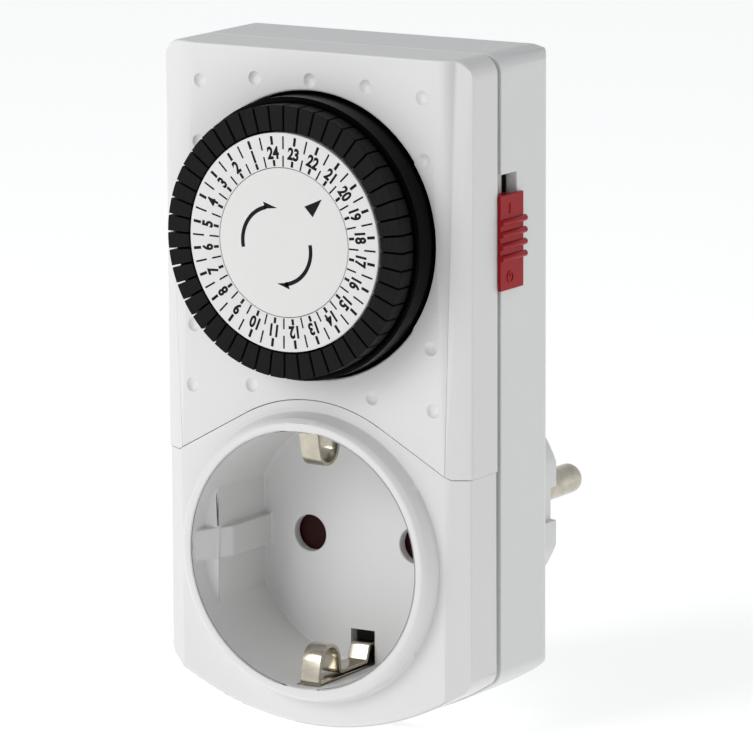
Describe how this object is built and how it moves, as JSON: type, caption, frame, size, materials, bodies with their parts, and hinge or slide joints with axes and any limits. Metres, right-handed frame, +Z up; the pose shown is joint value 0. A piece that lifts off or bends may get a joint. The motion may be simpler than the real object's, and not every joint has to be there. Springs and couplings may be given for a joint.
{
  "type": "plug-in timer switch",
  "caption": "Wall-plug adapter with an earthed round socket, a turning day dial with press-in segments, and a side slider that selects timed or constant power.",
  "frame": {"origin": "the end face of the plug, midway between its two pins", "axes": "+X to the right seen from the front, +Y back along the pins into the wall, +Z up"},
  "size_m": [0.0551, 0.0711, 0.104],
  "materials": {
    "grey_shell": "fine moulded grain",
    "white_cover": "fine moulded satin",
    "steel": "plain",
    "black_drum": "polished",
    "black_segment": "fine moulded grain",
    "number_disc": "printed",
    "centre_cap": "printed",
    "red_slider": "satin moulded",
    "white_inner": "moulded",
    "spring_steel": "bright",
    "beige_plastic": "moulded",
    "copper_wire": "enamelled winding",
    "dark_magnet": "ferrite",
    "gear_plastic": "natural acetal",
    "orange_plastic": "moulded",
    "contact_brass": "stamped",
    "nickel": "nickel plated brass",
    "copper_strip": "stamped",
    "red_shutter": "moulded"
  },
  "bodies": {
    "housing": {"rear_shell": "grey_shell", "upper_cover": "white_cover", "socket_cover": "white_cover", "housing_screws": "steel", "centre_cap": "centre_cap", "detent_spring": "spring_steel", "mechanism_plate": "beige_plastic", "motor_can": "steel", "motor_coil": "copper_wire", "gear_axles": "steel", "lever_pin": "steel", "fixed_contact": "contact_brass", "live_pin": "nickel", "neutral_pin": "nickel", "live_busbar": "copper_strip", "switched_busbar": "copper_strip", "neutral_strap": "copper_strip", "socket_contact_left": "contact_brass", "socket_contact_right": "contact_brass", "earth_strip_top": "nickel", "earth_strip_bottom": "nickel", "shutter_spring": "spring_steel", "shutter_plate": "beige_plastic"},
    "dial": {"dial_ring": "black_drum", "number_disc": "number_disc"},
    "mode_slider": {"mode_slider": "red_slider", "slider_carriage": "white_inner"},
    "motor_rotor": {"motor_rotor": "dark_magnet"},
    "gear_1": {"gear_1": "gear_plastic"},
    "gear_2": {"gear_2": "gear_plastic"},
    "trip_lever": {"trip_lever": "orange_plastic"},
    "moving_contact": {"moving_contact": "contact_brass"},
    "shutter": {"shutter": "red_shutter"},
    "segment_01": {"segment_01": "black_segment"},
    "segment_02": {"segment_02": "black_segment"},
    "segment_03": {"segment_03": "black_segment"},
    "segment_04": {"segment_04": "black_segment"},
    "segment_05": {"segment_05": "black_segment"},
    "segment_06": {"segment_06": "black_segment"},
    "segment_07": {"segment_07": "black_segment"},
    "segment_08": {"segment_08": "black_segment"},
    "segment_09": {"segment_09": "black_segment"},
    "segment_10": {"segment_10": "black_segment"},
    "segment_11": {"segment_11": "black_segment"},
    "segment_12": {"segment_12": "black_segment"},
    "segment_13": {"segment_13": "black_segment"},
    "segment_14": {"segment_14": "black_segment"},
    "segment_15": {"segment_15": "black_segment"},
    "segment_16": {"segment_16": "black_segment"},
    "segment_17": {"segment_17": "black_segment"},
    "segment_18": {"segment_18": "black_segment"},
    "segment_19": {"segment_19": "black_segment"},
    "segment_20": {"segment_20": "black_segment"},
    "segment_21": {"segment_21": "black_segment"},
    "segment_22": {"segment_22": "black_segment"},
    "segment_23": {"segment_23": "black_segment"},
    "segment_24": {"segment_24": "black_segment"}
  },
  "joints": [
    {"name": "dial_turn", "type": "hinge", "parent": "housing", "child": "dial", "pos_m": [0, -0.0444, 0.0472], "axis": [0, 1, 0], "continuous": true},
    {"name": "gear_1_turn", "type": "hinge", "parent": "housing", "child": "gear_1", "pos_m": [-0.01484, -0.0364, 0.05759], "axis": [0, 1, 0], "continuous": true},
    {"name": "gear_2_turn", "type": "hinge", "parent": "housing", "child": "gear_2", "pos_m": [-0.00486, -0.0344, 0.06123], "axis": [0, 1, 0], "continuous": true},
    {"name": "rotor_turn", "type": "hinge", "parent": "housing", "child": "motor_rotor", "pos_m": [0.00433, -0.0294, 0.05591], "axis": [0, 1, 0], "continuous": true},
    {"name": "mode_slide", "type": "slide", "parent": "housing", "child": "mode_slider", "axis": [0, 0, 1], "range_m": [0, 0.003]},
    {"name": "lever_tilt", "type": "hinge", "parent": "housing", "child": "trip_lever", "pos_m": [0.00935, -0.0364, 0.0232], "axis": [-1, 0, 0], "range_deg": [0, 10.5], "stiffness_Nm_per_rad": 0.002, "springref_deg": -2.86},
    {"name": "contact_bend", "type": "hinge", "parent": "housing", "child": "moving_contact", "pos_m": [-0.008, -0.0351, 0.0267], "axis": [0, 0, 1], "range_deg": [0, 2.6]},
    {"name": "shutter_turn", "type": "hinge", "parent": "housing", "child": "shutter", "pos_m": [0, -0.0274, -0.0022], "axis": [0, 1, 0], "range_deg": [0, 42], "stiffness_Nm_per_rad": 0.002, "springref_deg": -2.86},
    {"name": "segment_01_press", "type": "slide", "parent": "dial", "child": "segment_01", "axis": [0, 1, 0], "range_m": [0, 0.003]},
    {"name": "segment_02_press", "type": "slide", "parent": "dial", "child": "segment_02", "axis": [0, 1, 0], "range_m": [0, 0.003]},
    {"name": "segment_03_press", "type": "slide", "parent": "dial", "child": "segment_03", "axis": [0, 1, 0], "range_m": [0, 0.003]},
    {"name": "segment_04_press", "type": "slide", "parent": "dial", "child": "segment_04", "axis": [0, 1, 0], "range_m": [0, 0.003]},
    {"name": "segment_05_press", "type": "slide", "parent": "dial", "child": "segment_05", "axis": [0, 1, 0], "range_m": [0, 0.003]},
    {"name": "segment_06_press", "type": "slide", "parent": "dial", "child": "segment_06", "axis": [0, 1, 0], "range_m": [0, 0.003]},
    {"name": "segment_07_press", "type": "slide", "parent": "dial", "child": "segment_07", "axis": [0, 1, 0], "range_m": [0, 0.003]},
    {"name": "segment_08_press", "type": "slide", "parent": "dial", "child": "segment_08", "axis": [0, 1, 0], "range_m": [0, 0.003]},
    {"name": "segment_09_press", "type": "slide", "parent": "dial", "child": "segment_09", "axis": [0, 1, 0], "range_m": [0, 0.003]},
    {"name": "segment_10_press", "type": "slide", "parent": "dial", "child": "segment_10", "axis": [0, 1, 0], "range_m": [0, 0.003]},
    {"name": "segment_11_press", "type": "slide", "parent": "dial", "child": "segment_11", "axis": [0, 1, 0], "range_m": [0, 0.003]},
    {"name": "segment_12_press", "type": "slide", "parent": "dial", "child": "segment_12", "axis": [0, 1, 0], "range_m": [0, 0.003]},
    {"name": "segment_13_press", "type": "slide", "parent": "dial", "child": "segment_13", "axis": [0, 1, 0], "range_m": [0, 0.003]},
    {"name": "segment_14_press", "type": "slide", "parent": "dial", "child": "segment_14", "axis": [0, 1, 0], "range_m": [0, 0.003]},
    {"name": "segment_15_press", "type": "slide", "parent": "dial", "child": "segment_15", "axis": [0, 1, 0], "range_m": [0, 0.003]},
    {"name": "segment_16_press", "type": "slide", "parent": "dial", "child": "segment_16", "axis": [0, 1, 0], "range_m": [0, 0.003]},
    {"name": "segment_17_press", "type": "slide", "parent": "dial", "child": "segment_17", "axis": [0, 1, 0], "range_m": [0, 0.003]},
    {"name": "segment_18_press", "type": "slide", "parent": "dial", "child": "segment_18", "axis": [0, 1, 0], "range_m": [0, 0.003]},
    {"name": "segment_19_press", "type": "slide", "parent": "dial", "child": "segment_19", "axis": [0, 1, 0], "range_m": [0, 0.003]},
    {"name": "segment_20_press", "type": "slide", "parent": "dial", "child": "segment_20", "axis": [0, 1, 0], "range_m": [0, 0.003]},
    {"name": "segment_21_press", "type": "slide", "parent": "dial", "child": "segment_21", "axis": [0, 1, 0], "range_m": [0, 0.003]},
    {"name": "segment_22_press", "type": "slide", "parent": "dial", "child": "segment_22", "axis": [0, 1, 0], "range_m": [0, 0.003]},
    {"name": "segment_23_press", "type": "slide", "parent": "dial", "child": "segment_23", "axis": [0, 1, 0], "range_m": [0, 0.003]},
    {"name": "segment_24_press", "type": "slide", "parent": "dial", "child": "segment_24", "axis": [0, 1, 0], "range_m": [0, 0.003]}
  ],
  "couplings": [
    {"joint": "gear_1_turn", "follows": "dial_turn", "ratio": -5},
    {"joint": "gear_2_turn", "follows": "dial_turn", "ratio": 12.5},
    {"joint": "rotor_turn", "follows": "dial_turn", "ratio": -31.25},
    {"joint": "contact_bend", "follows": "lever_tilt", "ratio": 0.243}
  ]
}
